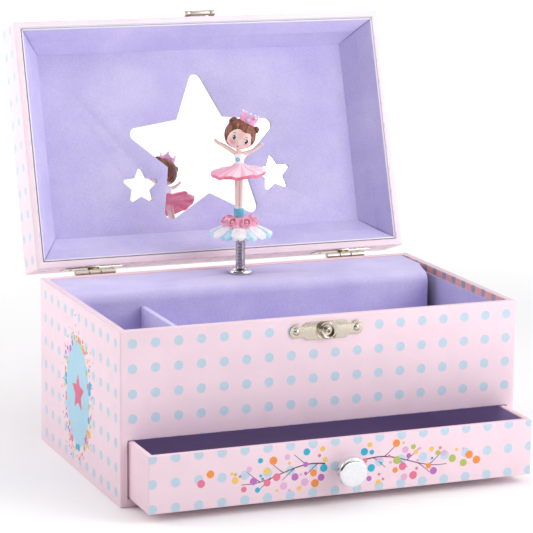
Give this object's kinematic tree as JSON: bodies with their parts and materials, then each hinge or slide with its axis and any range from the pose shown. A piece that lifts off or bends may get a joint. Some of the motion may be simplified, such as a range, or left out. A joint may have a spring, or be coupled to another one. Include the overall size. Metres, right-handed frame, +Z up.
{
  "type": "wind up music box",
  "caption": "Paper-covered musical jewellery box with a hinged mirror lid, a pull-out drawer, a dancer on a spring and a key-wound movement.",
  "frame": {"origin": "centre of the underside of the base", "axes": "+X to the right, +Y to the back, +Z up; the drawer knob faces -Y"},
  "size_m": [0.175, 0.1998, 0.1823],
  "materials": {
    "wrap": "matt coated paper printed with pale blue polka dots",
    "lining": "flocked lilac card",
    "drawer_lining": "dark aubergine paper",
    "mirror": "silvered sheet",
    "plated": "bright nickel plate",
    "brass": "satin",
    "steel": "fine turned",
    "dark_steel": "blued spring steel",
    "skin": "painted moulded plastic",
    "tutu": "gathered net",
    "skirt": "gathered ribbon and net",
    "crown": "painted moulded plastic"
  },
  "bodies": {
    "case": {"base_board": "wrap", "left_side_board": "wrap", "right_side_board": "wrap", "front_board": "wrap", "back_board": "wrap", "drawer_ceiling_board": "wrap", "tray_floor_pad": "lining", "tray_wall_linings": "lining", "tray_divider": "lining", "movement_cover": "lining", "latch_plate": "plated", "latch_stud": "plated", "hinge_body_leaves": "plated", "case_nails": "plated", "key_bush": "brass", "movement_bedplate": "steel", "bearing_plates": "steel", "spindle_plate": "steel", "movement_screws": "steel", "music_comb": "steel", "governor_bracket": "steel"},
    "lid": {"lid_top_board": "wrap", "lid_front_board": "wrap", "lid_back_board": "wrap", "lid_left_board": "wrap", "lid_right_board": "wrap", "lid_lining": "lining", "lid_mirror": "mirror", "star_panel": "lining", "hinge_lid_leaves": "plated", "hinge_and_hasp_pins": "plated", "lid_nails": "plated", "hasp_bracket": "plated"},
    "hasp": {"hasp_tongue": "plated"},
    "drawer": {"drawer_front": "wrap", "drawer_sides": "drawer_lining", "drawer_back": "drawer_lining", "drawer_bottom": "drawer_lining", "drawer_floor_pad": "drawer_lining", "drawer_knob": "plated", "knob_screw": "plated"},
    "winding_key_assembly": {"winding_arbor": "steel", "winding_key": "brass"},
    "barrel": {"spring_barrel": "steel", "great_wheel": "brass", "mainspring": "dark_steel"},
    "cylinder": {"pinned_cylinder": "brass", "cylinder_arbor": "brass"},
    "governor_idler": {"governor_wheel": "brass"},
    "governor": {"governor_worm": "steel", "governor_fan": "steel"},
    "spindle": {"dancer_spindle": "brass", "spindle_ring": "plated"},
    "spring": {"dancer_spring": "dark_steel"},
    "dancer": {"dancer_figure": "skin", "dancer_tutu": "tutu", "dancer_crown": "crown", "dancer_base_skirt": "skirt"},
    "stop_wire_body": {"stop_wire": "steel"}
  },
  "joints": [
    {"name": "lid_hinge", "type": "hinge", "parent": "case", "child": "lid", "pos_m": [0, 0.0579, 0.0727], "axis": [1, 0, 0], "range_deg": [0, 107.8]},
    {"name": "hasp_swing", "type": "hinge", "parent": "lid", "child": "hasp", "pos_m": [0.0008, 0.09576, 0.18112], "axis": [1, 0, 0], "range_deg": [0, 180]},
    {"name": "drawer_slide", "type": "slide", "parent": "case", "child": "drawer", "axis": [0, -1, 0], "range_m": [-0.0238, 0.05]},
    {"name": "key_wind", "type": "hinge", "parent": "case", "child": "winding_key_assembly", "pos_m": [-0.0005, 0.055, 0.046], "axis": [0, 1, 0], "continuous": true},
    {"name": "barrel_spin", "type": "hinge", "parent": "case", "child": "barrel", "pos_m": [-0.0005, 0.035, 0.046], "axis": [0, 1, 0], "continuous": true},
    {"name": "cylinder_spin", "type": "hinge", "parent": "case", "child": "cylinder", "pos_m": [-0.01926, 0.033, 0.043], "axis": [0, 1, 0], "continuous": true},
    {"name": "idler_spin", "type": "hinge", "parent": "case", "child": "governor_idler", "pos_m": [-0.02535, 0.022, 0.05605], "axis": [0, 1, 0], "continuous": true},
    {"name": "governor_spin", "type": "hinge", "parent": "case", "child": "governor", "pos_m": [-0.03325, 0.0242, 0.06], "axis": [0, 0, 1], "continuous": true},
    {"name": "spindle_spin", "type": "hinge", "parent": "case", "child": "spindle", "pos_m": [-0.0005, 0.039, 0.068], "axis": [0, 0, 1], "continuous": true},
    {"name": "dancer_tilt", "type": "hinge", "parent": "case", "child": "spring", "pos_m": [-0.0005, 0.039, 0.082], "axis": [1, 0, 0], "range_deg": [0, 102], "deforming": ["dancer_spring", "dancer_base_skirt", "dancer_tutu"]},
    {"name": "dancer_spin", "type": "hinge", "parent": "spring", "child": "dancer", "pos_m": [-0.0005, 0.039, 0.088], "axis": [0, 0, 1], "continuous": true},
    {"name": "stop_press", "type": "slide", "parent": "case", "child": "stop_wire_body", "axis": [0, 0, -1], "range_m": [0, 0.0015]}
  ],
  "couplings": [
    {"joint": "cylinder_spin", "follows": "barrel_spin", "ratio": -2.1667},
    {"joint": "idler_spin", "follows": "barrel_spin", "ratio": 4.3333},
    {"joint": "governor_spin", "follows": "barrel_spin", "ratio": -86.667},
    {"joint": "spindle_spin", "follows": "barrel_spin", "ratio": -1.7333},
    {"joint": "dancer_spin", "follows": "barrel_spin", "ratio": -1.7333},
    {"joint": "dancer_tilt", "follows": "lid_hinge", "ratio": 0.94619},
    {"joint": "stop_press", "follows": "lid_hinge", "m_per_rad": 0.00079724}
  ]
}
